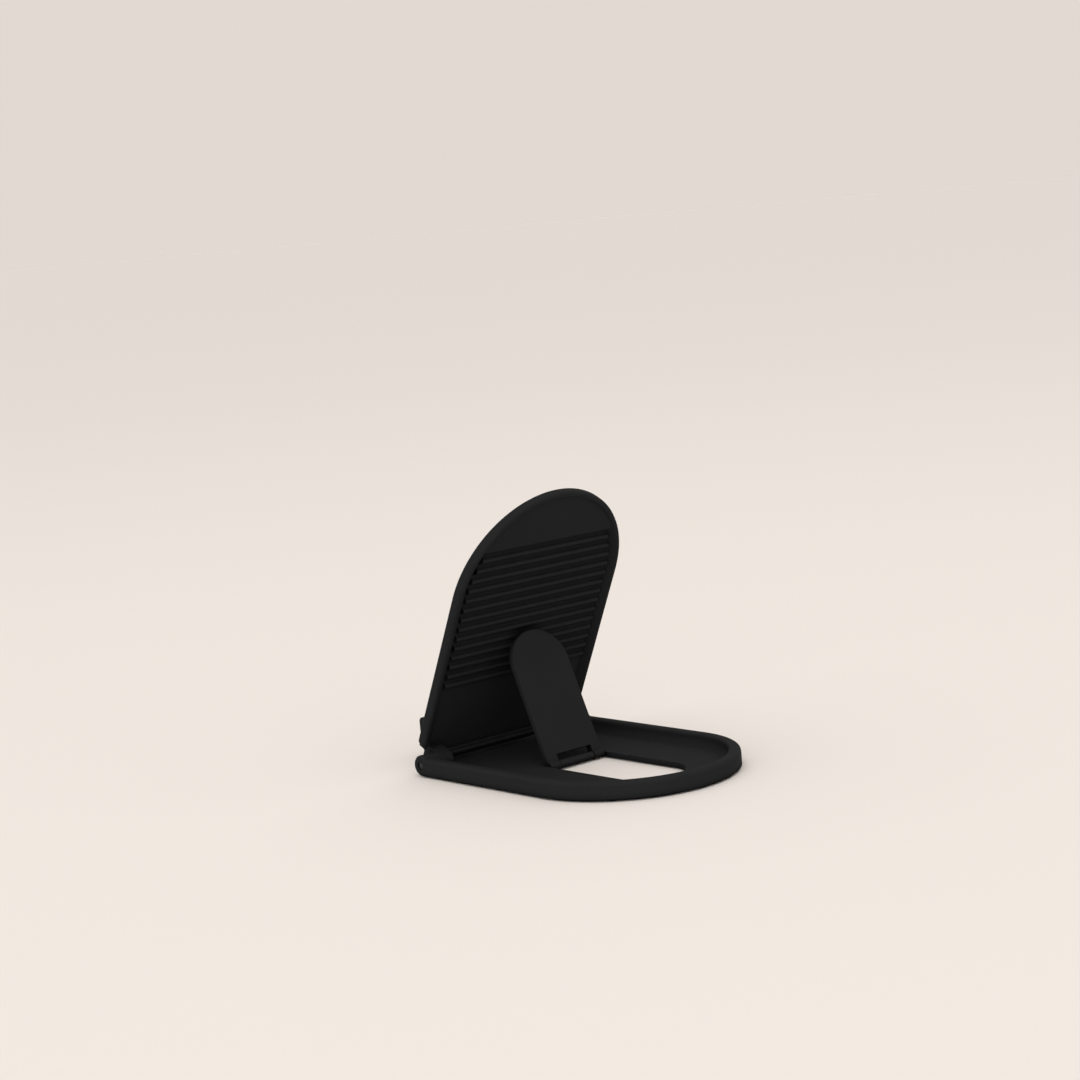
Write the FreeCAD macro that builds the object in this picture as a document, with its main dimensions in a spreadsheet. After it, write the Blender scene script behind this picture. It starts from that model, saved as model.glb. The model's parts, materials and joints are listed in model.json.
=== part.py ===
import FreeCAD, Part
import math
import os
import Sketcher

# A folding desk holder for a phone, moulded in plastic. A tray-shaped base lies on the table, an arched
# backrest is hinged to its front, and a small strut hinged to the tray's floor props the backrest from
# behind. X runs along the fold axis, +Y points to the round rear end of the base and +Z points up. The
# origin is on the table, below the middle of the opened holder. Sizes are in millimetres and degrees.

doc = FreeCAD.newDocument("phone_holder")
sheet = doc.addObject("Spreadsheet::Sheet", "sizes")

DRIVING_SIZES = [
    ("base_width", 69.0, "width of the base"),
    ("rear_reach", 89.3, "fold axis to the round rear end of the base"),
    ("front_reach", 22.3, "fold axis to the front of the hooks"),
    ("foot_stand", 0.4, "underside of the base above the table"),
    ("rim_height", 5.8, "top of the tray's rim above the table"),
    ("rim_width", 3.7, "width of the tray's rim"),
    ("rim_round", 1.2, "rounding of the rim's outer top edge"),
    ("rim_inner_round", 0.9, "rounding of the rim's inner top edge"),
    ("tray_sweep", 2.2, "hollow rounding from the tray's floor up to its rim"),
    ("sole_round", 0.6, "rounding of the base's lower outer edge"),
    ("floor_height", 2.1, "top of the tray's floor above the table"),
    ("fold_height", 3.6, "fold axis above the table"),
    ("fold_gap", 0.6, "gap between rim and backrest when folded"),
    ("fold_pin_radius", 1.2, "radius of the two steel pins on the fold axis"),
    ("pin_set_back", 0.3, "how far a pin's end lies inside its knuckle"),
    ("pin_chamfer", 0.25, "chamfer on the ends of the pins"),
    ("running_gap", 0.05, "radial play of a knuckle that turns on a pin"),
    ("ear_width", 5.8, "width of the base's two outer knuckles"),
    ("ear_round", 0.8, "rounding of an ear's outer rim"),
    ("knuckle_gap", 0.3, "side play between neighbouring knuckles"),
    ("knuckle_radius", 2.9, "radius of the backrest's knuckles"),
    ("knuckle_width", 4.8, "width of the backrest's knuckles"),
    ("tray_gap", 0.5, "gap between the backrest's knuckles and the tray"),
    ("floor_front", 6.5, "fold axis to the front edge of the tray's floor"),
    ("hook_width", 9.0, "width of a hook"),
    ("cable_gap", 14.0, "gap between the two hooks for a charging cable"),
    ("arm_height", 3.7, "top of a hook's arm above the table"),
    ("hook_height", 13.0, "tip of a hook above the table"),
    ("hook_thickness", 3.0, "thickness of a hook's upright tip"),
    ("trough_radius", 3.5, "hollow rounding between a hook's arm and its tip"),
    ("hook_heel_radius", 5.0, "outer rounding under a hook's tip"),
    ("liner_thickness", 0.8, "thickness of the soft liner in a hook"),
    ("liner_inset", 1.0, "how far the liner stays inside the hook's sides"),
    ("liner_height", 10.5, "top of the liner above the table"),
    ("liner_start", 10.4, "fold axis to the rear end of the liner"),
    ("backrest_width", 64.8, "width of the backrest"),
    ("backrest_reach", 88.5, "fold axis to the top of the backrest"),
    ("panel_thickness", 3.2, "thickness of the backrest at its rim"),
    ("panel_rim", 1.4, "width of the backrest's rim"),
    ("rim_slope", 2.6, "width of the slope from the backrest's rim to its recess"),
    ("panel_round", 1.0, "rounding of the backrest's outer edges"),
    ("panel_inner_round", 0.9, "rounding between the rim and its slope"),
    ("recess_depth", 1.9, "depth of the backrest's rear recess below its rim"),
    ("rib_height", 1.2, "height of the ribs above the recess"),
    ("rib_pitch", 3.352, "distance from rib to rib"),
    ("rib_count", 14, "number of ribs"),
    ("top_rib", 68.6, "fold axis to the crest of the top rib"),
    ("crest_radius", 0.8, "rounding of a rib's crest"),
    ("rib_side_gap", 0.1, "gap between the ends of the ribs and the foot of the rim's slope"),
    ("lip_height", 2.2, "height of the lip along the backrest's foot"),
    ("lip_gap", 0.4, "gap between the opened backrest's lip and the tray's floor"),
    ("lip_round", 0.5, "rounding of the lip's rear edges"),
    ("lip_hollow", 0.6, "hollow rounding from the lip to the recess"),
    ("panel_corner", 2.0, "rounding of the backrest's lower corners"),
    ("rest_tilt", 63.2, "angle between the tray and the opened backrest"),
    ("grip_inset", 7.0, "backrest's outline to the edge of the grip pad"),
    ("grip_start", 14.0, "fold axis to the lower edge of the grip pad"),
    ("grip_thickness", 1.0, "thickness of the grip pad"),
    ("grip_seat", 0.4, "depth of the seat that the grip pad lies in"),
    ("grip_gap", 0.1, "gap around the grip pad in its seat"),
    ("grip_round", 0.4, "rounding of the grip pad's front edge"),
    ("strut_place", 32.4, "fold axis to the strut's axis"),
    ("strut_height", 1.8, "strut's axis above the table"),
    ("strut_reach", 42.3, "strut's axis to its round tip"),
    ("strut_width", 21.8, "width of the strut"),
    ("strut_thickness", 2.2, "thickness of the strut"),
    ("strut_round", 0.6, "rounding of the strut's edges"),
    ("tip_gap", 0.36, "gap between the opened strut's tip and the line of the ribs' crests"),
    ("lug_radius", 1.4, "radius of the two lugs at the strut's foot"),
    ("notch_width", 14.0, "width of the notch between the lugs"),
    ("notch_depth", 3.2, "strut's axis to the end of the notch"),
    ("bar_radius", 1.25, "radius of the base's bar between the lugs"),
    ("strut_pin_radius", 0.6, "radius of the strut's steel pin"),
    ("opening_gap", 0.7, "gap around the folded strut in the tray's opening"),
    ("foot_radius", 4.0, "radius of a rubber foot"),
    ("foot_thickness", 1.0, "thickness of a rubber foot"),
    ("foot_gap", 0.05, "radial gap around a foot in its seat"),
    ("front_foot_inset", 9.5, "side of the base to a front foot"),
    ("front_foot_start", 12.0, "fold axis to a front foot"),
    ("rear_foot_inset", 13.0, "side of the base to a rear foot"),
    ("rear_foot_end", 19.1, "round rear end of the base to a rear foot"),
]
for row, (alias, number, meaning) in enumerate(DRIVING_SIZES, 1):
    sheet.set(f"A{row}", meaning)
    sheet.set(f"B{row}", str(number))
    sheet.setAlias(f"B{row}", alias)
doc.recompute()


class Size:
    """A number together with the sheet formula that gives it, so that both are written once."""

    def __init__(self, number, formula):
        self.number = number
        self.formula = formula

    def joined(self, other, sign, number):
        return Size(number, f"({self.formula} {sign} {other.formula})")

    def __add__(self, other):
        other = as_size(other)
        return self.joined(other, "+", self.number + other.number)

    def __sub__(self, other):
        other = as_size(other)
        return self.joined(other, "-", self.number - other.number)

    def __mul__(self, other):
        other = as_size(other)
        return self.joined(other, "*", self.number * other.number)

    def __truediv__(self, other):
        other = as_size(other)
        return self.joined(other, "/", self.number / other.number)

    def __neg__(self):
        return Size(-self.number, f"(0 - {self.formula})")


def as_size(amount):
    """A Size as it is, or a plain number as a Size."""
    if isinstance(amount, Size):
        return amount
    return Size(float(amount), str(amount))


def size(alias):
    """The sheet's size of that name."""
    return Size(float(sheet.get(alias)), f"sizes.{alias}")


def angle(name, amount):
    """The sine or cosine of an angle in degrees."""
    turn = {"sin": math.sin, "cos": math.cos}[name]
    return Size(turn(math.radians(amount.number)), f"{name}({amount.formula})")


def angle_of(name, ratio):
    """The angle in degrees whose sine or tangent is the ratio."""
    turn = {"asin": math.asin, "atan": math.atan}[name]
    return Size(math.degrees(turn(ratio.number)), f"({name}({ratio.formula}) / 1 deg)")


def leg(longest, other):
    """The third side of a right-angled triangle."""
    return root(longest * longest - other * other)


def root(amount):
    """The square root of a size."""
    return Size(math.sqrt(amount.number), f"sqrt({amount.formula})")


class Arc:
    """An outline's round stretch about a centre. One coordinate of the centre is enough to hold it."""

    def __init__(self, centre_x, centre_y, hold, left_turn=True):
        self.centre = (as_size(centre_x), as_size(centre_y))
        self.hold = hold
        self.left_turn = left_turn


def new_body(label, y=0, z=0, tilt=None):
    """A body whose own origin lies at y and z, turned about X by the tilt."""
    body = doc.addObject("PartDesign::Body", label)
    body.Label = label
    if tilt is not None:
        body.Placement.Rotation = FreeCAD.Rotation(FreeCAD.Vector(1, 0, 0), tilt.number)
        body.setExpression("Placement.Rotation.Angle", tilt.formula)
    body.setExpression("Placement.Base.y", as_size(y).formula)
    body.setExpression("Placement.Base.z", as_size(z).formula)
    return body


def origin_part(body, role):
    """One of the body's own planes or axes."""
    return next(part for part in body.Origin.OriginFeatures if part.Role == role)


def new_sketch(body, name, plane, lift=0):
    """An empty sketch on one of the body's planes, lifted along the plane's normal."""
    sketch = body.newObject("Sketcher::SketchObject", name)
    sketch.AttachmentSupport = [(origin_part(body, plane), "")]
    sketch.MapMode = "FlatFace"
    sketch.setExpression("AttachmentOffset.Base.z", as_size(lift).formula)
    return sketch


def hold_point(sketch, edge, end, point):
    """Holds one point of a sketch's edge at its two distances from the origin."""
    for kind, distance in zip(("DistanceX", "DistanceY"), point):
        hold_distance(sketch, kind, edge, end, as_size(distance))


def hold_distance(sketch, kind, edge, end, distance):
    """Holds one coordinate of a point at a size."""
    index = sketch.addConstraint(Sketcher.Constraint(kind, edge, end, distance.number))
    sketch.setExpression(f"Constraints[{index}]", distance.formula)


# A sketch numbers the points of an edge in this order
START, END, CENTRE = range(1, 4)


def draw_outline(sketch, corners):
    """Draws a closed outline through corners (x, y), with (x, y, Arc) where a round stretch starts."""
    count = len(corners)
    points = [FreeCAD.Vector(as_size(c[0]).number, as_size(c[1]).number, 0) for c in corners]
    ends = []
    for index, corner in enumerate(corners):
        here = points[index]
        there = points[(index + 1) % count]
        if len(corner) == 2:
            edge = sketch.addGeometry(Part.LineSegment(here, there))
            ends.append((edge, START, END))
            continue
        arc = corner[2]
        centre = FreeCAD.Vector(arc.centre[0].number, arc.centre[1].number, 0)
        first, last = (here, there) if arc.left_turn else (there, here)
        circle = Part.Circle(centre, FreeCAD.Vector(0, 0, 1), (here - centre).Length)
        first_angle = math.atan2(first.y - centre.y, first.x - centre.x)
        last_angle = math.atan2(last.y - centre.y, last.x - centre.x)
        edge = sketch.addGeometry(Part.ArcOfCircle(circle, first_angle, last_angle))
        ends.append((edge, START, END) if arc.left_turn else (edge, END, START))
    for index, corner in enumerate(corners):
        edge, start, _ = ends[index]
        before, _, before_end = ends[index - 1]
        sketch.addConstraint(Sketcher.Constraint("Coincident", before, before_end, edge, start))
        hold_point(sketch, edge, start, corner[:2])
    for index, corner in enumerate(corners):
        if len(corner) == 3:
            arc = corner[2]
            kind = "DistanceX" if arc.hold == "x" else "DistanceY"
            held = arc.centre[0] if arc.hold == "x" else arc.centre[1]
            hold_distance(sketch, kind, ends[index][0], CENTRE, held)


def draw_circle(sketch, x, y, radius):
    """Draws a circle about a point."""
    centre = FreeCAD.Vector(as_size(x).number, as_size(y).number, 0)
    edge = sketch.addGeometry(Part.Circle(centre, FreeCAD.Vector(0, 0, 1), radius.number))
    hold_point(sketch, edge, CENTRE, (x, y))
    index = sketch.addConstraint(Sketcher.Constraint("Radius", edge, radius.number))
    sketch.setExpression(f"Constraints[{index}]", radius.formula)


def draw_box(sketch, low_x, low_y, high_x, high_y):
    """Draws a rectangle between two corners."""
    draw_outline(sketch, [(low_x, low_y), (high_x, low_y), (high_x, high_y), (low_x, high_y)])


def draw_arch(sketch, half_width, low_y, arch_y):
    """Draws a straight-sided outline closed by a half circle about the middle at arch_y."""
    draw_outline(sketch, [
        (-half_width, low_y),
        (half_width, low_y),
        (half_width, arch_y, Arc(0, arch_y, hold="y")),
        (-half_width, arch_y),
    ])


def draw_path(sketch, half_width, low_y, arch_y):
    """Draws an arch's sides and half circle as one open line, from the right foot to the left."""
    low_right, high_right = (FreeCAD.Vector(half_width.number, y.number, 0) for y in (low_y, arch_y))
    low_left, high_left = (FreeCAD.Vector(-half_width.number, y.number, 0) for y in (low_y, arch_y))
    right = sketch.addGeometry(Part.LineSegment(low_right, high_right))
    circle = Part.Circle(FreeCAD.Vector(0, arch_y.number, 0), FreeCAD.Vector(0, 0, 1), half_width.number)
    top = sketch.addGeometry(Part.ArcOfCircle(circle, 0, math.pi))
    left = sketch.addGeometry(Part.LineSegment(high_left, low_left))
    sketch.addConstraint(Sketcher.Constraint("Coincident", right, END, top, START))
    sketch.addConstraint(Sketcher.Constraint("Coincident", top, END, left, START))
    hold_point(sketch, right, START, (half_width, low_y))
    hold_point(sketch, right, END, (half_width, arch_y))
    hold_point(sketch, left, START, (-half_width, arch_y))
    hold_point(sketch, left, END, (-half_width, low_y))
    hold_distance(sketch, "DistanceY", top, CENTRE, arch_y)


def extrude(body, kind, sketch, length=None, symmetric=False, reverse=False):
    """A Pad or Pocket of the sketch. With no length a Pocket goes through all."""
    feature = body.newObject(f"PartDesign::{kind}", f"{sketch.Name}_{kind.lower()}")
    feature.Profile = sketch
    feature.SideType = "Symmetric" if symmetric else "One side"
    feature.Reversed = reverse
    if length is None:
        feature.Type = "ThroughAll"
    else:
        feature.setExpression("Length", as_size(length).formula)
    doc.recompute()
    return feature


def mirror_across(body, feature):
    """The feature's copy on the other side of the middle plane."""
    mirrored = body.newObject("PartDesign::Mirrored", f"{feature.Name}_mirrored")
    mirrored.Originals = [feature]
    mirrored.MirrorPlane = (origin_part(body, "YZ_Plane"), [""])
    body.Tip = mirrored
    doc.recompute()
    return mirrored


def dress_edges(body, kind, name, amount, chosen):
    """A Fillet or Chamfer on the edges of the body's last feature that the test picks."""
    base = body.Tip
    edges = [f"Edge{i}" for i, edge in enumerate(base.Shape.Edges, 1) if chosen(edge)]
    feature = body.newObject(f"PartDesign::{kind}", name)
    feature.Base = (base, edges)
    feature.setExpression("Radius" if kind == "Fillet" else "Size", amount.formula)
    doc.recompute()
    return feature


NEAR = 1e-4


def lies_at(edge, axis, place):
    """Whether the whole edge lies at one place along an axis, given as "x", "y" or "z"."""
    box = edge.BoundBox
    low, high = {"x": (box.XMin, box.XMax), "y": (box.YMin, box.YMax), "z": (box.ZMin, box.ZMax)}[axis]
    return abs(low - place.number) < NEAR and abs(high - place.number) < NEAR


def on_arch(edge, half_width, arch_y):
    """Whether the edge follows the sides or the half circle of an arch."""
    middle = edge.valueAt((edge.FirstParameter + edge.LastParameter) / 2)
    reach = abs(middle.x) if middle.y < arch_y.number else math.hypot(middle.x, middle.y - arch_y.number)
    return abs(reach - half_width.number) < NEAR


# Values that several pieces share
half_width = size("base_width") / 2
axis_y = (size("front_reach") - size("rear_reach")) / 2
arch_y = size("rear_reach") - half_width
fold_height = size("fold_height")
rest_tilt = size("rest_tilt")
foot_stand = size("foot_stand")
ear_radius = fold_height - foot_stand
ear_inner = half_width - size("ear_width")
knuckle_gap = size("knuckle_gap")
knuckle_radius = size("knuckle_radius")
knuckle_outer = ear_inner - knuckle_gap
knuckle_inner = knuckle_outer - size("knuckle_width")
hook_inner = size("cable_gap") / 2
hook_outer = hook_inner + size("hook_width")
hook_face = size("hook_thickness") - size("front_reach")
strut_half = size("strut_width") / 2
strut_place = size("strut_place")
opening_gap = size("opening_gap")
foot_places = {
    "front": (half_width - size("front_foot_inset"), size("front_foot_start")),
    "rear": (half_width - size("rear_foot_inset"), size("rear_reach") - size("rear_foot_end")),
}
sides = {"left": -1, "right": 1}


# Base: a shallow arched tray with the outer knuckles, the hooks and the strut's bar in one moulding
base = new_body("base_tray", y=axis_y)
rim_height = size("rim_height")
floor_height = size("floor_height")
floor_front = size("floor_front")
notch_inner = knuckle_inner - knuckle_gap
notch_end = knuckle_radius + size("tray_gap")
tray_half = half_width - size("rim_width")

plate = new_sketch(base, "tray_plate", "XY_Plane", lift=foot_stand)
draw_outline(plate, [
    (-half_width, 0),
    (-ear_inner, 0),
    (-ear_inner, notch_end),
    (-notch_inner, notch_end),
    (-notch_inner, -floor_front),
    (notch_inner, -floor_front),
    (notch_inner, notch_end),
    (ear_inner, notch_end),
    (ear_inner, 0),
    (half_width, 0),
    (half_width, arch_y, Arc(0, arch_y, hold="y")),
    (-half_width, arch_y),
])
extrude(base, "Pad", plate, rim_height - foot_stand)

recess = new_sketch(base, "tray_recess", "XY_Plane", lift=rim_height)
draw_arch(recess, tray_half, -floor_front, arch_y)
extrude(base, "Pocket", recess, rim_height - floor_height)

dress_edges(base, "Fillet", "tray_sweep_round", size("tray_sweep"),
            lambda edge: lies_at(edge, "z", floor_height) and on_arch(edge, tray_half, arch_y))
dress_edges(base, "Fillet", "rim_outer_round", size("rim_round"),
            lambda edge: lies_at(edge, "z", rim_height) and on_arch(edge, half_width, arch_y))
dress_edges(base, "Fillet", "rim_inner_rounding", size("rim_inner_round"),
            lambda edge: lies_at(edge, "z", rim_height) and on_arch(edge, tray_half, arch_y))
dress_edges(base, "Fillet", "sole_rounding", size("sole_round"),
            lambda edge: lies_at(edge, "z", foot_stand) and on_arch(edge, half_width, arch_y))

# An ear is turned about the fold axis, with a rounded outer rim
ear_round = size("ear_round")
ear_section = new_sketch(base, "ear_section", "XY_Plane", lift=fold_height)
draw_outline(ear_section, [
    (ear_inner, 0),
    (half_width, 0),
    (half_width, ear_radius - ear_round, Arc(half_width - ear_round, ear_radius - ear_round, "x")),
    (half_width - ear_round, ear_radius),
    (ear_inner, ear_radius),
])
ear = base.newObject("PartDesign::Revolution", "ear")
ear.Profile = ear_section
ear.ReferenceAxis = (ear_section, ["H_Axis"])
doc.recompute()
mirror_across(base, ear)

# A hook's outline runs from the tray's floor up a ramp below the backrest, along the arm and up the tip
heel = size("hook_heel_radius")
trough = size("trough_radius")
arm_height = size("arm_height")
ramp = (arm_height - floor_height) * angle("sin", rest_tilt) / angle("cos", rest_tilt)
tip_centre_y = size("hook_thickness") / 2 - size("front_reach")
tip_centre_z = size("hook_height") - size("hook_thickness") / 2
hook = new_sketch(base, "hook", "YZ_Plane", lift=hook_inner)
draw_outline(hook, [
    (0, foot_stand),
    (0, floor_height),
    (-floor_front, floor_height),
    (-floor_front - ramp, arm_height),
    (hook_face + trough, arm_height, Arc(hook_face + trough, arm_height + trough, "x", left_turn=False)),
    (hook_face, arm_height + trough),
    (hook_face, tip_centre_z, Arc(tip_centre_y, tip_centre_z, "y")),
    (-size("front_reach"), tip_centre_z),
    (-size("front_reach"), foot_stand + heel, Arc(heel - size("front_reach"), foot_stand + heel, "y")),
    (heel - size("front_reach"), foot_stand),
])
mirror_across(base, extrude(base, "Pad", hook, size("hook_width")))

# The opening that the folded strut lies in, and the bar that carries the strut's pin
opening_start = strut_place - size("lug_radius") - opening_gap
opening_half = strut_half + opening_gap
strut_arch = strut_place + size("strut_reach") - strut_half
opening = new_sketch(base, "strut_opening", "XY_Plane", lift=floor_height)
draw_arch(opening, opening_half, opening_start, strut_arch)
extrude(base, "Pocket", opening)

bar_radius = size("bar_radius")
strut_height = size("strut_height")
bar_half = size("notch_width") / 2 - knuckle_gap
bar = new_sketch(base, "strut_bar", "YZ_Plane")
draw_outline(bar, [
    (opening_start - bar_radius, foot_stand),
    (strut_place, strut_height - bar_radius, Arc(strut_place, strut_height, hold="x")),
    (strut_place, strut_height + bar_radius),
    (opening_start - bar_radius, floor_height),
])
extrude(base, "Pad", bar, bar_half * 2, symmetric=True)

fold_bore = new_sketch(base, "fold_bore", "YZ_Plane")
draw_circle(fold_bore, 0, fold_height, size("fold_pin_radius"))
extrude(base, "Pocket", fold_bore, symmetric=True)
strut_bore = new_sketch(base, "strut_bore", "YZ_Plane")
draw_circle(strut_bore, strut_place, strut_height, size("strut_pin_radius"))
extrude(base, "Pocket", strut_bore, size("notch_width"), symmetric=True)

foot_seats = new_sketch(base, "foot_seats", "XY_Plane", lift=foot_stand)
for across, along in foot_places.values():
    for sign in sides.values():
        draw_circle(foot_seats, across * sign, along, size("foot_radius") + size("foot_gap"))
extrude(base, "Pocket", foot_seats, size("foot_thickness") - foot_stand, reverse=True)

# Backrest: an arched panel, drawn as it lies when folded, with its rear face down and its foot at the axis
panel = new_body("backrest_panel", y=axis_y, z=fold_height, tilt=rest_tilt)
rear_face = rim_height + size("fold_gap") - fold_height
front_face = rear_face + size("panel_thickness")
recess_level = rear_face + size("recess_depth")
land_level = recess_level - size("rib_height")
panel_start = ear_radius + size("tray_gap")
backrest_half = size("backrest_width") / 2
backrest_arch = size("backrest_reach") - backrest_half
panel_half = backrest_half - size("panel_rim")
slope_foot = panel_half - size("rim_slope")
rib_pitch = size("rib_pitch")
rib_field_top = size("top_rib") + rib_pitch / 2
rib_field_low = rib_field_top - rib_pitch * size("rib_count")

web = new_sketch(panel, "panel_web", "XY_Plane", lift=recess_level)
draw_arch(web, backrest_half, panel_start, backrest_arch)
extrude(panel, "Pad", web, front_face - recess_level)


def draw_arch_head(sketch, half, low_y, high_y):
    """Draws the part of an arch between two heights, the upper one above the half circle's middle."""
    top_half = leg(half, high_y - backrest_arch)
    draw_outline(sketch, [
        (-half, low_y),
        (half, low_y),
        (half, backrest_arch, Arc(0, backrest_arch, hold="y")),
        (top_half, high_y),
        (-top_half, high_y, Arc(0, backrest_arch, hold="y")),
        (-half, backrest_arch),
    ])


land = new_sketch(panel, "plain_land", "XY_Plane", lift=land_level)
land_half = leg(backrest_half, rib_field_top - backrest_arch)
draw_outline(land, [
    (-land_half, rib_field_top),
    (land_half, rib_field_top, Arc(0, backrest_arch, hold="y")),
])
extrude(panel, "Pad", land, size("rib_height"))

rib_field = new_sketch(panel, "rib_field", "XY_Plane", lift=land_level)
draw_arch_head(rib_field, slope_foot - size("rib_side_gap"), rib_field_low, rib_field_top)
extrude(panel, "Pad", rib_field, size("rib_height"))

# One groove: two half crests joined by a hollow that is tangent to both
crest = size("crest_radius")
rib_height = size("rib_height")
both_radii = (rib_pitch * rib_pitch / 4 + rib_height * rib_height) / (rib_height * 2)
hollow = both_radii - crest
flank_y = crest * rib_pitch / (both_radii * 2)
flank_z = land_level + crest * rib_height / both_radii
crest_below = rib_field_top - rib_pitch / 2
crest_above = rib_field_top + rib_pitch / 2
groove = new_sketch(panel, "rib_groove", "YZ_Plane")
draw_outline(groove, [
    (crest_below, rear_face),
    (crest_above, rear_face),
    (crest_above, land_level, Arc(crest_above, land_level + crest, "x", left_turn=False)),
    (crest_above - flank_y, flank_z, Arc(rib_field_top, recess_level - hollow, "y")),
    (crest_below + flank_y, flank_z, Arc(crest_below, land_level + crest, "x", left_turn=False)),
    (crest_below, land_level),
])
first_groove = extrude(panel, "Pocket", groove, size("backrest_width"), symmetric=True)
grooves = panel.newObject("PartDesign::LinearPattern", "rib_grooves")
grooves.Originals = [first_groove]
grooves.Direction = (origin_part(panel, "Y_Axis"), [""])
grooves.Reversed = True
grooves.Mode = "Spacing"
grooves.setExpression("Offset", rib_pitch.formula)
grooves.setExpression("Occurrences", (size("rib_count") + 1).formula)
panel.Tip = grooves
doc.recompute()

rim = new_sketch(panel, "panel_rim", "XY_Plane", lift=rear_face)
draw_outline(rim, [
    (-backrest_half, panel_start),
    (-panel_half, panel_start),
    (-panel_half, backrest_arch, Arc(0, backrest_arch, "y", left_turn=False)),
    (panel_half, backrest_arch),
    (panel_half, panel_start),
    (backrest_half, panel_start),
    (backrest_half, backrest_arch, Arc(0, backrest_arch, "y")),
    (-backrest_half, backrest_arch),
])
extrude(panel, "Pad", rim, front_face - rear_face)

dress_edges(panel, "Fillet", "panel_corner_round", size("panel_corner"),
            lambda edge: on_arch(edge, backrest_half, backrest_arch) and lies_at(edge, "y", panel_start))
dress_edges(panel, "Fillet", "panel_outer_round", size("panel_round"),
            lambda edge: on_arch(edge, backrest_half, backrest_arch)
            and (lies_at(edge, "z", rear_face) or lies_at(edge, "z", front_face)))

# The slope from the rim down to the recess follows the arch
slope_section = new_sketch(panel, "slope_section", "XZ_Plane", lift=-panel_start)
slope_root = (recess_level + front_face) / 2
slope_back = (panel_half + backrest_half) / 2
draw_outline(slope_section, [
    (panel_half, rear_face),
    (slope_back, rear_face),
    (slope_back, slope_root),
    (slope_foot, slope_root),
    (slope_foot, recess_level),
])
slope_path = new_sketch(panel, "slope_path", "XY_Plane", lift=rear_face)
draw_path(slope_path, panel_half, panel_start, backrest_arch)
slope = panel.newObject("PartDesign::AdditivePipe", "rim_slope")
slope.Profile = slope_section
slope.Spine = (slope_path, ["Edge1", "Edge2", "Edge3"])
doc.recompute()
dress_edges(panel, "Fillet", "panel_inner_rounding", size("panel_inner_round"),
            lambda edge: lies_at(edge, "z", rear_face) and on_arch(edge, panel_half, backrest_arch))

# Between the ears the web runs on down to a lip just above the tray's floor
foot_y = ((floor_height + size("lip_gap") - fold_height - rear_face * angle("cos", rest_tilt))
          / angle("sin", rest_tilt))
lip_top = foot_y + size("lip_height")
lip_round = size("lip_round")
lip_hollow = size("lip_hollow")
hollow_y = lip_top + lip_hollow
panel_round = size("panel_round")
foot_end = panel_start + knuckle_radius
foot_section = new_sketch(panel, "panel_foot", "YZ_Plane")
draw_outline(foot_section, [
    (foot_y + lip_round, rear_face),
    (lip_top - lip_round, rear_face, Arc(lip_top - lip_round, rear_face + lip_round, "x")),
    (lip_top, rear_face + lip_round),
    (lip_top, recess_level - lip_hollow, Arc(hollow_y, recess_level - lip_hollow, "x", left_turn=False)),
    (hollow_y, recess_level),
    (foot_end, recess_level),
    (foot_end, front_face),
    (foot_y + panel_round, front_face, Arc(foot_y + panel_round, front_face - panel_round, "x")),
    (foot_y, front_face - panel_round),
    (foot_y, rear_face + lip_round, Arc(foot_y + lip_round, rear_face + lip_round, "x")),
])
extrude(panel, "Pad", foot_section, knuckle_outer * 2, symmetric=True)

# A knuckle beside each ear turns on a pin
heel_y = panel_round - knuckle_radius
knuckle = new_sketch(panel, "panel_knuckle", "YZ_Plane", lift=knuckle_inner)
draw_outline(knuckle, [
    (-knuckle_radius, 0, Arc(0, 0, hold="y")),
    (knuckle_radius, 0),
    (knuckle_radius, front_face),
    (heel_y, front_face, Arc(heel_y, front_face - panel_round, "x")),
    (-knuckle_radius, front_face - panel_round),
])
mirror_across(panel, extrude(panel, "Pad", knuckle, size("knuckle_width")))

panel_bore = new_sketch(panel, "panel_bore", "YZ_Plane")
draw_circle(panel_bore, 0, 0, size("fold_pin_radius") + size("running_gap"))
extrude(panel, "Pocket", panel_bore, symmetric=True)

grip_half = backrest_half - size("grip_inset")
grip_seat = new_sketch(panel, "grip_seat", "XY_Plane", lift=front_face)
draw_arch(grip_seat, grip_half + size("grip_gap"), size("grip_start") - size("grip_gap"), backrest_arch)
extrude(panel, "Pocket", grip_seat, size("grip_seat"))

# Grip pad: a soft sheet bonded into its seat on the backrest's front
grip = new_body("backrest_grip_pad", y=axis_y, z=fold_height, tilt=rest_tilt)
grip_floor = front_face - size("grip_seat")
grip_sheet = new_sketch(grip, "grip_sheet", "XY_Plane", lift=grip_floor)
draw_arch(grip_sheet, grip_half, size("grip_start"), backrest_arch)
extrude(grip, "Pad", grip_sheet, size("grip_thickness"))
dress_edges(grip, "Fillet", "grip_rounding", size("grip_round"),
            lambda edge: lies_at(edge, "z", grip_floor + size("grip_thickness")))

# Strut: a round-ended plate, drawn as it lies when folded, with a fork at its foot. It opens until the
# rounding of its tip is one gap away from the ribs
lug_radius = size("lug_radius")
tip_along = size("strut_reach") - size("strut_round")
tip_above = lug_radius - size("strut_round")
tip_distance = root(tip_along * tip_along + tip_above * tip_above)
crest_distance = (land_level + strut_place * angle("sin", rest_tilt)
                  + (fold_height - strut_height) * angle("cos", rest_tilt))
tip_rise = (crest_distance - size("strut_round") - size("tip_gap")) / tip_distance
strut_tilt = rest_tilt + angle_of("asin", tip_rise) - angle_of("atan", tip_above / tip_along)
strut = new_body("prop_strut", y=axis_y + strut_place, z=strut_height, tilt=strut_tilt)
strut_top = lug_radius
strut_low = lug_radius - size("strut_thickness")
blade_arch = size("strut_reach") - strut_half
blade = new_sketch(strut, "strut_blade", "XY_Plane", lift=strut_low)
draw_arch(blade, strut_half, 0, blade_arch)
extrude(strut, "Pad", blade, size("strut_thickness"))
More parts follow.
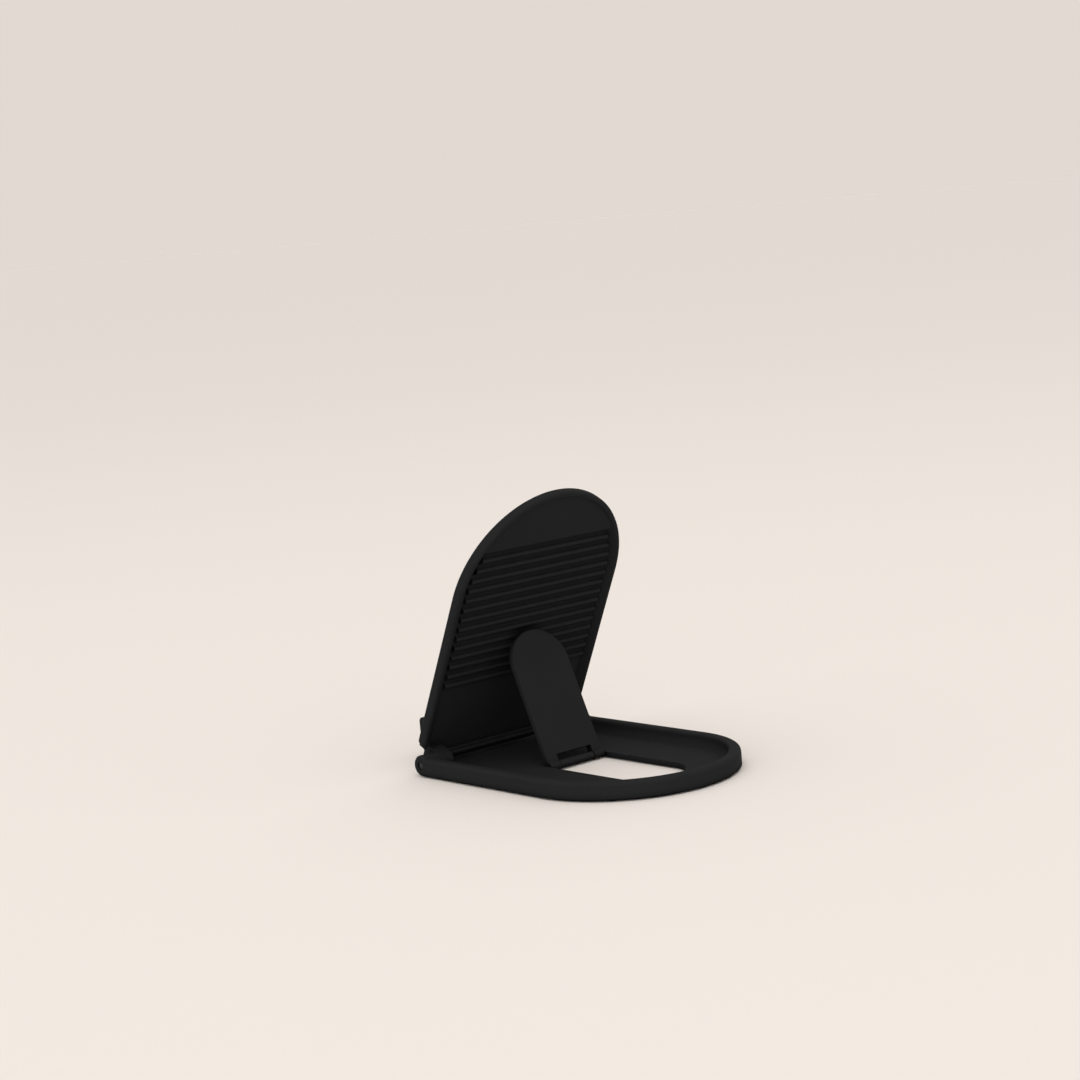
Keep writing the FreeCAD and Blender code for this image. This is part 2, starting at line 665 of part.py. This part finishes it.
dress_edges(strut, "Fillet", "strut_rounding", size("strut_round"),
            lambda edge: on_arch(edge, strut_half, blade_arch)
            and (lies_at(edge, "z", strut_top) or lies_at(edge, "z", strut_low)))
lugs = new_sketch(strut, "strut_lugs", "YZ_Plane")
draw_circle(lugs, 0, 0, lug_radius)
extrude(strut, "Pad", lugs, size("strut_width"), symmetric=True)
notch = new_sketch(strut, "strut_notch", "XY_Plane")
draw_box(notch, -size("notch_width") / 2, -lug_radius * 2, size("notch_width") / 2, size("notch_depth"))
extrude(strut, "Pocket", notch, symmetric=True)
lug_bore = new_sketch(strut, "lug_bore", "YZ_Plane")
draw_circle(lug_bore, 0, 0, size("strut_pin_radius") + size("running_gap"))
extrude(strut, "Pocket", lug_bore, symmetric=True)


def make_pin(label, middle, y, z, radius, length):
    """A steel pin with chamfered ends, lying along X with its middle at that x."""
    pin = new_body(label, y=y, z=z)
    section = new_sketch(pin, f"{label}_section", "YZ_Plane", lift=middle)
    draw_circle(section, 0, 0, radius)
    extrude(pin, "Pad", section, length, symmetric=True)
    dress_edges(pin, "Chamfer", f"{label}_chamfer", size("pin_chamfer"),
                lambda edge: isinstance(edge.Curve, Part.Circle))
    return pin


# The steel pins, pressed into the base
pin_outer = half_width - size("pin_set_back")
pin_inner = knuckle_inner + size("pin_set_back")
pin_middle = (pin_outer + pin_inner) / 2
fold_pins = []
for side, sign in sides.items():
    fold_pins.append(make_pin(f"backrest_hinge_pin_{side}", pin_middle * sign, axis_y, fold_height,
                              size("fold_pin_radius"), pin_outer - pin_inner))
strut_pin = make_pin("strut_hinge_pin", 0, axis_y + strut_place, strut_height, size("strut_pin_radius"),
                     size("strut_width") - size("pin_set_back") * 2)

# Hook liners: soft strips bonded along the arm and up the inner face of each hook
liner = size("liner_thickness")
hook_liners = []
for side, start in (("left", -hook_outer), ("right", hook_inner)):
    strip = new_body(f"hook_liner_{side}", y=axis_y)
    course = new_sketch(strip, f"liner_course_{side}", "YZ_Plane", lift=start + size("liner_inset"))
    trough_y = hook_face + trough
    trough_z = arm_height + trough
    draw_outline(course, [
        (-size("liner_start"), arm_height),
        (-size("liner_start"), arm_height + liner),
        (trough_y, arm_height + liner, Arc(trough_y, trough_z, "x", left_turn=False)),
        (hook_face + liner, trough_z),
        (hook_face + liner, size("liner_height")),
        (hook_face, size("liner_height")),
        (hook_face, trough_z, Arc(trough_y, trough_z, "y")),
        (trough_y, arm_height),
    ])
    extrude(strip, "Pad", course, size("hook_width") - size("liner_inset") * 2)
    hook_liners.append(strip)

# Rubber feet: flat discs bonded into seats under the base
feet = []
for place, (across, along) in foot_places.items():
    for side, sign in sides.items():
        foot = new_body(f"foot_{place}_{side}", y=axis_y)
        disc = new_sketch(foot, f"foot_disc_{place}_{side}", "XY_Plane")
        draw_circle(disc, across * sign, along, size("foot_radius"))
        extrude(foot, "Pad", disc, size("foot_thickness"))
        feet.append(foot)

doc.recompute()
failed = [item.Label for item in doc.Objects if "Invalid" in item.State or "Error" in item.State]
if failed:
    raise RuntimeError(f"these objects failed: {failed}")
sub_parts = [base, panel, grip, strut, strut_pin] + fold_pins + hook_liners + feet
for sub_part in sub_parts:
    if sub_part.Shape.isNull() or not sub_part.Shape.isValid():
        raise RuntimeError(f"{sub_part.Label} has no valid shape")
os.makedirs("parts", exist_ok=True)
for sub_part in sub_parts:
    shape = sub_part.Shape
    shape.exportStep(f"parts/{sub_part.Label}.step")
    print(sub_part.Label, len(shape.Solids), round(shape.Volume, 2), shape.BoundBox)
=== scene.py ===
import json
import math

import bmesh
import bpy
import numpy as np
from mathutils import Matrix, Vector


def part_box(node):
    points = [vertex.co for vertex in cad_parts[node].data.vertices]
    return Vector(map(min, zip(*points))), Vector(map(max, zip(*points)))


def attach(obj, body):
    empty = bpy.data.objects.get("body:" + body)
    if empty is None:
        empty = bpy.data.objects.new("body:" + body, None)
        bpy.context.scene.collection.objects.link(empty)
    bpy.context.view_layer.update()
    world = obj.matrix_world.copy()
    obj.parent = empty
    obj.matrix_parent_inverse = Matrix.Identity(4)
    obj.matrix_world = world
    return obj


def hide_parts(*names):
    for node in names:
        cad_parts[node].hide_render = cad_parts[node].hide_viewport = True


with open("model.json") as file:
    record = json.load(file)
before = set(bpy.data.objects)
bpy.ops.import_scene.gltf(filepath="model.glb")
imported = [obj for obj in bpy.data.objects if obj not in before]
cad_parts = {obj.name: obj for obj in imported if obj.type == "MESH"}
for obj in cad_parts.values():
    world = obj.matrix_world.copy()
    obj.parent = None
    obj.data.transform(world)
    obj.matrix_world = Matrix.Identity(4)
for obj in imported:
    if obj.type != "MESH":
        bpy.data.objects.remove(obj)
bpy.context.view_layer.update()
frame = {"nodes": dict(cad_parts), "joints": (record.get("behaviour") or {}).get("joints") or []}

# Base tray: floor, rim, ears, hooks and the strut's bar leave one injection tool together in black plastic.
# The tool is spark eroded, so every face carries a fine satin grain, and the edges that handling touches are
# rubbed a little smoother and paler than the faces.


def add_node(tree, kind, inputs=None, **settings):
    """Adds a node, with its settings and its inputs given as values or as sockets to link from."""
    node = tree.nodes.new(kind)
    for name, value in settings.items():
        setattr(node, name, value)
    for socket, value in (inputs or {}).items():
        if isinstance(value, bpy.types.NodeSocket):
            tree.links.new(value, node.inputs[socket])
        else:
            node.inputs[socket].default_value = value
    return node


def scaled(tree, value, low, high, start=0.0, end=1.0):
    """The socket that goes from low to high as a value goes from start to end."""
    return add_node(tree, "ShaderNodeMapRange", {0: value, 1: start, 2: end, 3: low, 4: high}).outputs[0]


def combined(tree, operation, first, second):
    """The socket of a sum, a product or the greater of two values."""
    return add_node(tree, "ShaderNodeMath", {0: first, 1: second}, operation=operation).outputs[0]


def mixed(tree, share, first, second):
    """The socket of a colour that goes from the first to the second as the share goes from 0 to 1."""
    return add_node(tree, "ShaderNodeMix", {0: share, 6: first, 7: second}, data_type="RGBA").outputs[2]


def noise(tree, place, cells, detail, roughness=0.5):
    """The socket of a noise with so many cells per metre."""
    inputs = {"Vector": place, "Scale": cells, "Detail": detail, "Roughness": roughness}
    return add_node(tree, "ShaderNodeTexNoise", inputs).outputs[0]


def new_group(name, inputs, outputs):
    """An empty shader group with float sockets, and its two end nodes."""
    tree = bpy.data.node_groups.new(name, "ShaderNodeTree")
    for socket, value in inputs.items():
        made = tree.interface.new_socket(socket, in_out="INPUT", socket_type="NodeSocketFloat")
        made.default_value = value
    for socket in outputs:
        tree.interface.new_socket(socket, in_out="OUTPUT", socket_type="NodeSocketFloat")
    return tree, tree.nodes.new("NodeGroupInput"), tree.nodes.new("NodeGroupOutput")


def make_moulding_grain():
    """Height: fine pits of the eroded tool. Cloud: slow change of gloss where the melt cooled unevenly."""
    tree, given, result = new_group("moulding_grain", {"Pits per metre": 3200.0, "Clouds per metre": 70.0},
                                    ["Height", "Cloud"])
    place = add_node(tree, "ShaderNodeTexCoord").outputs["Object"]
    pits = noise(tree, place, given.outputs["Pits per metre"], detail=2.0, roughness=0.6)
    clouds = noise(tree, place, given.outputs["Clouds per metre"], detail=3.0, roughness=0.55)
    tree.links.new(pits, result.inputs["Height"])
    tree.links.new(clouds, result.inputs["Cloud"])
    return tree


def make_edge_rub():
    """Rub: 1 on an edge, where a face and its rounded neighbourhood look different ways, broken by noise."""
    tree, given, result = new_group("edge_rub", {"Reach": 0.0005, "Patches per metre": 240.0}, ["Rub"])
    rounded = add_node(tree, "ShaderNodeBevel", {"Radius": given.outputs["Reach"]}, samples=4)
    face = add_node(tree, "ShaderNodeNewGeometry")
    turn = add_node(tree, "ShaderNodeVectorMath", {0: rounded.outputs[0], 1: face.outputs["Normal"]},
                    operation="DOT_PRODUCT")
    flat, sharp = 0.995, 0.86
    edge = add_node(tree, "ShaderNodeMapRange", {0: turn.outputs["Value"], 1: flat, 2: sharp},
                    interpolation_type="SMOOTHSTEP")
    place = add_node(tree, "ShaderNodeTexCoord").outputs["Object"]
    patches = noise(tree, place, given.outputs["Patches per metre"], detail=3.0)
    broken = scaled(tree, patches, 0.0, 1.0, start=0.35, end=0.65)
    tree.links.new(combined(tree, "MULTIPLY", edge.outputs[0], broken), result.inputs["Rub"])
    return tree


def make_settled_dust():
    """Dust: fine specks that lie on faces which look up, thicker in drifts."""
    tree, given, result = new_group("settled_dust", {"Specks per metre": 1500.0, "Drifts per metre": 90.0},
                                    ["Dust"])
    where = add_node(tree, "ShaderNodeTexCoord")
    up = add_node(tree, "ShaderNodeSeparateXYZ", {0: where.outputs["Normal"]})
    lying = scaled(tree, up.outputs["Z"], 0.0, 1.0, start=0.35, end=0.95)
    specks = noise(tree, where.outputs["Object"], given.outputs["Specks per metre"], detail=2.0)
    drifts = noise(tree, where.outputs["Object"], given.outputs["Drifts per metre"], detail=3.0)
    fine = scaled(tree, specks, 0.0, 1.0, start=0.52, end=0.78)
    thick = scaled(tree, drifts, 0.25, 1.0, start=0.4, end=0.7)
    dust = combined(tree, "MULTIPLY", combined(tree, "MULTIPLY", fine, thick), lying)
    tree.links.new(dust, result.inputs["Dust"])
    return tree


def make_painted_hollow_shade():
    """The share of painted shade: 1 in grooves, corners and recesses, where the colour is darkened to stand in
    for shade.
    """
    tree, given, result = new_group("painted_hollow_shade", {"Reach": 0.003}, ["Hollow"])
    openness = add_node(tree, "ShaderNodeAmbientOcclusion", {"Distance": given.outputs["Reach"]}, samples=12)
    painted_shade = scaled(tree, openness.outputs["AO"], 1.0, 0.0, start=0.42, end=0.95)
    tree.links.new(painted_shade, result.inputs["Hollow"])
    return tree


moulding_grain = make_moulding_grain()
edge_rub = make_edge_rub()
settled_dust = make_settled_dust()
painted_hollow_shade = make_painted_hollow_shade()


def moulded_plastic(name, black, rubbed, rub_reach, satin, grain_depth, clouds):
    """Black moulded plastic: grained, slightly cloudy in tone and gloss, with painted shade that darkens its
    hollows, paler on rubbed edges, and with a trace of dust."""
    material = bpy.data.materials.new(name)
    material.use_nodes = True
    tree = material.node_tree
    shader = tree.nodes["Principled BSDF"]
    shader.inputs["Specular IOR Level"].default_value = 0.03
    grain = add_node(tree, "ShaderNodeGroup", node_tree=moulding_grain)
    grain.inputs["Clouds per metre"].default_value = clouds
    rub = add_node(tree, "ShaderNodeGroup", node_tree=edge_rub)
    rub.inputs["Reach"].default_value = rub_reach
    dust = add_node(tree, "ShaderNodeGroup", node_tree=settled_dust)
    painted_shade = add_node(tree, "ShaderNodeGroup", node_tree=painted_hollow_shade)
    deep = (black * 0.87, black * 0.88, black * 0.91, 1)
    plain = (black * 1.11, black * 1.12, black * 1.16, 1)
    # Painted shade: the dark colour that the hollows are mixed towards, in place of the shade that falls in
    # them.
    painted_shade_colour = (black * 0.2, black * 0.2, black * 0.21, 1)
    worn = (rubbed, rubbed, rubbed * 1.03, 1)
    dust_grey = (0.28, 0.275, 0.27, 1)
    clouded = mixed(tree, grain.outputs["Cloud"], deep, plain)
    # Painted shade is mixed into the grooves and recesses here, as far as ambient occlusion finds them closed
    # in.
    shaded = mixed(tree, painted_shade.outputs["Hollow"], clouded, painted_shade_colour)
    edged = mixed(tree, scaled(tree, rub.outputs["Rub"], 0.0, 0.7), shaded, worn)
    dusted = mixed(tree, scaled(tree, dust.outputs["Dust"], 0.0, 0.012), edged, dust_grey)
    tree.links.new(dusted, shader.inputs["Base Color"])
    cloudy_gloss = scaled(tree, grain.outputs["Cloud"], satin - 0.06, satin + 0.06)
    smoother = scaled(tree, rub.outputs["Rub"], 0.0, -0.1)
    tree.links.new(combined(tree, "ADD", cloudy_gloss, smoother), shader.inputs["Roughness"])
    bump = add_node(tree, "ShaderNodeBump", {"Strength": 0.35, "Distance": grain_depth,
                                             "Height": grain.outputs["Height"]})
    tree.links.new(bump.outputs["Normal"], shader.inputs["Normal"])
    return material


def finish_node(node, material):
    """Gives a CAD node its finished material."""
    mesh = frame["nodes"][node].data
    mesh.materials.clear()
    mesh.materials.append(material)


tray_plastic = moulded_plastic("tray_plastic", black=0.019, rubbed=0.0225, rub_reach=0.0006, satin=0.78,
                               grain_depth=0.00003, clouds=60.0)
finish_node("base_tray", tray_plastic)

# Rubber feet: four moulded discs, bonded into round seats under the tray. A foot stands on a broad ring
# that is broken by one groove, and its middle is dished so that it doesn't rock.


def skin(name, loops):
    """A closed mesh over an array of loops (row, point on the loop, xyz): neighbours are joined into faces,
    and loops or points that meet are merged, which closes the ends."""
    rows, count, _ = loops.shape
    row, step = np.meshgrid(np.arange(rows - 1), np.arange(count), indexing="ij")
    onward = (step + 1) % count
    faces = np.stack([row * count + step, row * count + onward, (row + 1) * count + onward,
                      (row + 1) * count + step], axis=-1)
    mesh = bpy.data.meshes.new(name)
    mesh.from_pydata(loops.reshape(-1, 3).tolist(), [], faces.reshape(-1, 4).tolist())
    shell = bmesh.new()
    shell.from_mesh(mesh)
    bmesh.ops.remove_doubles(shell, verts=shell.verts, dist=2e-7)
    bmesh.ops.recalc_face_normals(shell, faces=shell.faces)
    if shell.calc_volume(signed=True) < 0:
        bmesh.ops.reverse_faces(shell, faces=shell.faces)
    shell.to_mesh(mesh)
    shell.free()
    mesh.shade_smooth()
    piece = bpy.data.objects.new(name, mesh)
    bpy.context.scene.collection.objects.link(piece)
    return piece


def soft_rubber(name, black, matte, grain_depth, pits):
    """Black elastomer: a dull skin with fine pits and a trace of dust that clings to it."""
    material = bpy.data.materials.new(name)
    material.use_nodes = True
    tree = material.node_tree
    shader = tree.nodes["Principled BSDF"]
    shader.inputs["Specular IOR Level"].default_value = 0.28
    shader.inputs["Sheen Weight"].default_value = 0.03
    grain = add_node(tree, "ShaderNodeGroup", node_tree=moulding_grain)
    grain.inputs["Pits per metre"].default_value = pits
    dust = add_node(tree, "ShaderNodeGroup", node_tree=settled_dust)
    deep = (black * 0.85, black * 0.85, black * 0.85, 1)
    plain = (black * 1.15, black * 1.15, black * 1.18, 1)
    dust_grey = (0.22, 0.215, 0.21, 1)
    clouded = mixed(tree, grain.outputs["Cloud"], deep, plain)
    dusted = mixed(tree, scaled(tree, dust.outputs["Dust"], 0.0, 0.03), clouded, dust_grey)
    tree.links.new(dusted, shader.inputs["Base Color"])
    cloudy_gloss = scaled(tree, grain.outputs["Cloud"], matte - 0.07, matte + 0.07)
    tree.links.new(cloudy_gloss, shader.inputs["Roughness"])
    bump = add_node(tree, "ShaderNodeBump", {"Strength": 0.4, "Distance": grain_depth,
                                             "Height": grain.outputs["Height"]})
    tree.links.new(bump.outputs["Normal"], shader.inputs["Normal"])
    return material


def turned_foot(name, node, rubber):
    """A profile (radius, height) turned about the upright axis in the middle of the foot's CAD disc. In shares
    of the disc's radius and height it goes over a flat top and down a quarter-ellipse heel, through a half-sine
    groove, and up a squared sine into the dish."""
    low, high = (np.array(corner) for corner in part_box(node))
    middle = (low + high) / 2
    radius, height = (high[0] - low[0]) / 2, high[2] - low[2]
    heel_width, heel_rise = 0.10, 0.36
    groove_start, groove_width, groove_depth = 0.72, 0.10, 0.14
    dish_radius, dish_depth = 0.5, 0.16
    top = np.array([[0, 1], [0.5, 1], [0.96, 1], [1, 0.95], [1, 0.6]])
    quarter_turn = np.linspace(0, np.pi / 2, 9)
    heel = np.stack([1 - heel_width + heel_width * np.cos(quarter_turn),
                     heel_rise - heel_rise * np.sin(quarter_turn)], axis=-1)
    half_turn = np.linspace(0, np.pi, 11)
    groove = np.stack([groove_start - groove_width / 2 * (1 - np.cos(half_turn)),
                       groove_depth * np.sin(half_turn)], axis=-1)
    inward = np.linspace(0, 1, 12)
    dish = np.stack([dish_radius * (1 - inward), dish_depth * np.sin(inward * np.pi / 2) ** 2], axis=-1)
    profile = np.concatenate([top, heel, groove, dish]) * (radius, height)
    turn = np.linspace(0, 2 * np.pi, 72, endpoint=False)
    loops = np.empty((len(profile), len(turn), 3))
    loops[..., 0] = middle[0] + profile[:, :1] * np.cos(turn)
    loops[..., 1] = middle[1] + profile[:, :1] * np.sin(turn)
    loops[..., 2] = low[2] + profile[:, 1:]
    foot = skin(name, loops)
    foot.data.materials.append(rubber)
    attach(foot, "base")
    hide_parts(node)


foot_rubber = soft_rubber("foot_rubber", black=0.013, matte=0.72, grain_depth=0.00004, pits=2600.0)
for place in ("front_left", "front_right", "rear_left", "rear_right"):
    turned_foot(f"turned_foot_{place}", f"foot_{place}", foot_rubber)

# Hook liners: strips of soft sheet, bonded along the arm, round the trough and up the tip of each hook.
# Low ridges across a strip keep what stands in the hook from sliding.


def bent_strip(name, node, rubber):
    """A crowned section carried along the hook: a straight arm, a quarter circle and a straight tip. The front
    stands out by the sheet's thickness, less the ridges, a cosine along the way. It falls to the back in a
    quarter circle at both ends, and along both sides as the fourth root of one less a tenth power."""
    low, high = (np.array(corner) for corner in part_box(node))
    middle, half = (low[0] + high[0]) / 2, (high[0] - low[0]) / 2
    thick, bend, ridge, pitch, end_round = 0.0008, 0.0035, 0.00012, 0.0011, 0.0004
    arm = high[1] - low[1] - bend
    tip = high[2] - low[2] - bend
    arc = bend * np.pi / 2
    length = arm + arc + tip
    way = np.concatenate([[0.0], np.linspace(0, end_round, 7)[1:],
                          np.linspace(end_round, length - end_round, 190)[1:],
                          np.linspace(length - end_round, length, 7)[1:]])
    turn = np.clip((way - arm) / bend, 0, np.pi / 2)
    ahead = np.minimum(way, arm) + bend * np.sin(turn)
    rise = bend * (1 - np.cos(turn)) + np.maximum(way - arm - arc, 0)
    from_end = np.minimum(np.minimum(way, length - way) / end_round, 1)
    crown = np.sqrt(1 - (1 - from_end) ** 2)
    depth = (thick - ridge * (0.5 + 0.5 * np.cos(2 * np.pi * way / pitch))) * crown
    across = np.sin(np.linspace(-np.pi / 2, np.pi / 2, 33))
    fall = (1 - np.abs(across) ** 10) ** 0.25
    front = depth[:, None] * fall
    lift = np.concatenate([front, 0 * front[:, 1:-1]], axis=1)
    sideways = np.concatenate([across, across[-2:0:-1]])
    loops = np.empty(lift.shape + (3,))
    loops[..., 0] = middle + half * sideways
    loops[..., 1] = high[1] - ahead[:, None] + lift * np.sin(turn)[:, None]
    loops[..., 2] = low[2] + rise[:, None] + lift * np.cos(turn)[:, None]
    strip = skin(name, loops)
    strip.data.materials.append(rubber)
    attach(strip, "base")
    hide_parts(node)


liner_rubber = soft_rubber("liner_rubber", black=0.011, matte=0.64, grain_depth=0.00003, pits=3000.0)
for side in ("left", "right"):
    bent_strip(f"ridged_liner_{side}", f"hook_liner_{side}", liner_rubber)

# Hinge pins: short pieces of drawn steel rod, blackened, chamfered and pressed into the base. The backrest
# turns on one beside each ear, and the strut on a thinner one that goes through the bar.


def blackened_steel(name, black, gloss):
    """Black oxide on drawn rod: fine streaks along X, and bare metal in spots where the oxide is thin."""
    material = bpy.data.materials.new(name)
    material.use_nodes = True
    tree = material.node_tree
    shader = tree.nodes["Principled BSDF"]
    shader.inputs["Metallic"].default_value = 1.0
    place = add_node(tree, "ShaderNodeTexCoord").outputs["Object"]
    streaks_per_metre = (60.0, 5200.0, 5200.0)
    drawn = add_node(tree, "ShaderNodeMapping", {0: place, 3: streaks_per_metre})
    streaks = noise(tree, drawn.outputs[0], 1.0, detail=3.0)
    spots = noise(tree, place, 1400.0, detail=2.0)
    thin = scaled(tree, spots, 0.0, 1.0, start=0.58, end=0.75)
    oxide = (black, black, black * 1.05, 1)
    bare = (0.1, 0.097, 0.094, 1)
    tree.links.new(mixed(tree, thin, oxide, bare), shader.inputs["Base Color"])
    tree.links.new(scaled(tree, streaks, gloss - 0.1, gloss + 0.12), shader.inputs["Roughness"])
    bump = add_node(tree, "ShaderNodeBump", {"Strength": 0.3, "Distance": 0.00002, "Height": streaks})
    tree.links.new(bump.outputs["Normal"], shader.inputs["Normal"])
    return material


pin_steel = blackened_steel("pin_steel", black=0.04, gloss=0.45)
for pin in ("backrest_hinge_pin_left", "backrest_hinge_pin_right", "strut_hinge_pin"):
    finish_node(pin, pin_steel)

# Backrest: the arched panel is a moulding of its own, with the ribs, the plain land and the sloped rim on
# its rear. Its grain is a little finer than the tray's, and the crests of the ribs are rubbed by the tip of
# the strut.
backrest_plastic = moulded_plastic("backrest_plastic", black=0.0168, rubbed=0.028, rub_reach=0.0012, satin=0.62,
                                   grain_depth=0.000025, clouds=45.0)
finish_node("backrest_panel", backrest_plastic)

# Grip pad: a sheet of soft rubber, bonded into a shallow seat on the backrest's front. Its edge is rounded,
# and low ribs across it, which fade out towards a plain border, keep what leans on it from slipping.


def ribbed_pad(name, node, rubber):
    """An arch: straight sides up to a half circle. At each height the front is a row from side to side that
    stands above the seat by the sheet's thickness, less a quarter-circle rounding near the outline and a
    cosine of ribs. The flat pad is then turned about the fold axis to the opened backrest's tilt."""
    fold = frame["joints"][0]
    tilt = math.radians(-fold["range_deg"][0])
    half, seat, thick, edge_round, corner = 0.0254, 0.0056, 0.001, 0.0004, 0.001
    start, springing = 0.014, 0.0561
    rib_depth, rib_pitch, plain_border, full_ribs = 0.00016, 0.0021, 0.0014, 0.0034
    over_edge = np.array([0, 0.00003, 0.00008, 0.00015, 0.00024, 0.00033])
    straight = np.concatenate([[0], over_edge, np.linspace(edge_round, springing - start, 165)])
    rising = np.linspace(0, np.pi / 2, 130)[1:]
    along = np.concatenate([start + straight, springing + half * np.sin(rising)])
    to_corner = np.clip(corner - (along - start), 0, corner)
    arched = half * np.sqrt(np.maximum(1 - ((along - springing) / half) ** 2, 0))
    upright = half - corner + np.sqrt(corner ** 2 - to_corner ** 2)
    width = np.where(along > springing, arched, upright)
    from_side = np.concatenate([over_edge, [edge_round, 0.0008, 0.0014, 0.0022]])
    right = 1 - from_side[::-1] / half
    across = np.concatenate([-right[::-1], np.linspace(-right[0], right[0], 33)[1:-1], right])
    x = width[:, None] * across
    y = np.repeat(along[:, None], len(across), axis=1)
    inside = np.where(y > springing, half - np.hypot(x, y - springing), width[:, None] - np.abs(x))
    inside = np.clip(np.minimum(inside, y - start), 0, None)
    short = np.clip(edge_round - inside, 0, edge_round)
    rounding = edge_round - np.sqrt(edge_round ** 2 - short ** 2)
    fade = np.clip((inside - plain_border) / (full_ribs - plain_border), 0, 1)
    fade = fade * fade * (3 - 2 * fade)
    ribs = rib_depth * fade * (0.5 - 0.5 * np.cos(2 * np.pi * (y - start) / rib_pitch))
    lift = thick - rounding - ribs
    lift[0] = 0
    above = seat + np.concatenate([lift, 0 * lift], axis=1)
    x = np.concatenate([x, x[:, ::-1]], axis=1)
    y = np.concatenate([y, y], axis=1)
    loops = np.stack([x, fold["pos_m"][1] + y * math.cos(tilt) - above * math.sin(tilt),
                      fold["pos_m"][2] + y * math.sin(tilt) + above * math.cos(tilt)], axis=-1)
    pad = skin(name, loops)
    pad.data.materials.append(rubber)
    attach(pad, "backrest")
    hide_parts(node)


pad_rubber = soft_rubber("pad_rubber", black=0.0115, matte=0.66, grain_depth=0.00003, pits=2800.0)
ribbed_pad("ribbed_grip_pad", "backrest_grip_pad", pad_rubber)

# Prop strut: a round-ended plate, moulded in the same plastic as the tray, with a fork at its foot that
# turns on the bar's pin. Its broad faces are the plainest on the holder, so their gloss is a little cloudier.
strut_plastic = moulded_plastic("strut_plastic", black=0.0174, rubbed=0.0205, rub_reach=0.0006, satin=0.66,
                                grain_depth=0.00003, clouds=80.0)
finish_node("prop_strut", strut_plastic)

# Studio: a wide pale floor under a soft sky that is brighter low on one side, with a broad lamp overhead.
# Floor and sky are painted alike for the camera, so they meet without a line, and the floor throws back
# only part of its light onto the holder.


def floor_disc(name):
    """A flat disc: circles of growing radius about the origin, with a thin turned-down edge and a flat
    underside to close it."""
    radius = np.concatenate([[0.0], np.geomspace(0.05, 40.0, 24), [40.0, 0.0]])
    height = np.concatenate([np.zeros(25), [-0.01, -0.01]])
    around = np.linspace(0, 2 * np.pi, 96, endpoint=False)
    loops = np.stack([radius[:, None] * np.cos(around), radius[:, None] * np.sin(around),
                      np.repeat(height[:, None], len(around), axis=1)], axis=-1)
    return skin(name, loops)


def shown_rays(tree):
    """The socket that is 1 for what the camera sees, also in a mirror or through glass."""
    rays = add_node(tree, "ShaderNodeLightPath").outputs
    seen = combined(tree, "MAXIMUM", rays["Is Camera Ray"], rays["Is Glossy Ray"])
    return combined(tree, "MAXIMUM", seen, rays["Is Transmission Ray"])


floor = floor_disc("pale_floor")
floor.data.shade_flat()
floor_paint = bpy.data.materials.new("floor_paint")
floor_paint.use_nodes = True
floor_tree = floor_paint.node_tree
floor_shader = floor_tree.nodes["Principled BSDF"]
floor_shader.inputs["Roughness"].default_value = 0.9
floor_shader.inputs["Specular IOR Level"].default_value = 0.1
floor_bounce = (0.64, 0.625, 0.61, 1)
floor_shown = (0.86, 0.79, 0.73, 1)
floor_colour = mixed(floor_tree, shown_rays(floor_tree), floor_bounce, floor_shown)
floor_tree.links.new(floor_colour, floor_shader.inputs["Base Color"])
floor.data.materials.append(floor_paint)

sky = bpy.data.worlds.new("studio_sky")
bpy.context.scene.world = sky
sky.use_nodes = True
sky_tree = sky.node_tree
sky_place = add_node(sky_tree, "ShaderNodeTexCoord").outputs["Generated"]
bright_side = (0.76, 0.62, 0.18)
to_side = add_node(sky_tree, "ShaderNodeVectorMath", {0: sky_place, 1: bright_side}, operation="DOT_PRODUCT")
glow = add_node(sky_tree, "ShaderNodeMapRange", {0: to_side.outputs["Value"], 1: 0.45, 2: 1.0},
                interpolation_type="SMOOTHSTEP")
sky_light = mixed(sky_tree, glow.outputs[0], (0.76, 0.76, 0.76, 1), (1.75, 1.75, 1.75, 1))
sky_shown = (0.757, 0.697, 0.6445, 1)
sky_colour = mixed(sky_tree, shown_rays(sky_tree), sky_light, sky_shown)
sky_tree.links.new(sky_colour, sky_tree.nodes["Background"].inputs["Color"])

softbox = bpy.data.lights.new("overhead_softbox", "AREA")
softbox.energy = 5.0
softbox.size = 1.4
softbox_stand = bpy.data.objects.new("overhead_softbox", softbox)
softbox_stand.location = (0.3, 0.4, 1.6)
softbox_aim = Vector((0, 0, 0.03))
softbox_stand.rotation_mode = "QUATERNION"
softbox_stand.rotation_quaternion = (softbox_aim - softbox_stand.location).to_track_quat("-Z", "Y")
bpy.context.scene.collection.objects.link(softbox_stand)

# Camera: a long lens, low behind the holder's right side and rolled a little. Its place and angles were
# measured from the edges of the base, the backrest and the strut.
azimuth, elevation, roll = (math.radians(angle) for angle in (139.2101, 7.5626, -5.0423))
eye = Vector((0.482741, 0.550918, 0.167282))
back = Vector((math.sin(azimuth) * math.cos(elevation), -math.cos(azimuth) * math.cos(elevation),
               math.sin(elevation)))
level = Vector((math.cos(azimuth), math.sin(azimuth), 0))
upright = back.cross(level)
right = math.cos(roll) * level + math.sin(roll) * upright
up = math.cos(roll) * upright - math.sin(roll) * level
lens = bpy.data.cameras.new("camera")
lens.sensor_width = 36
lens.lens = 82.04
lens.clip_start = 0.01
camera = bpy.data.objects.new("camera", lens)
camera.matrix_world = Matrix.Translation(eye) @ Matrix((right, up, back)).transposed().to_4x4()
bpy.context.scene.collection.objects.link(camera)
bpy.context.scene.camera = camera
bpy.context.scene.view_settings.view_transform = "Standard"
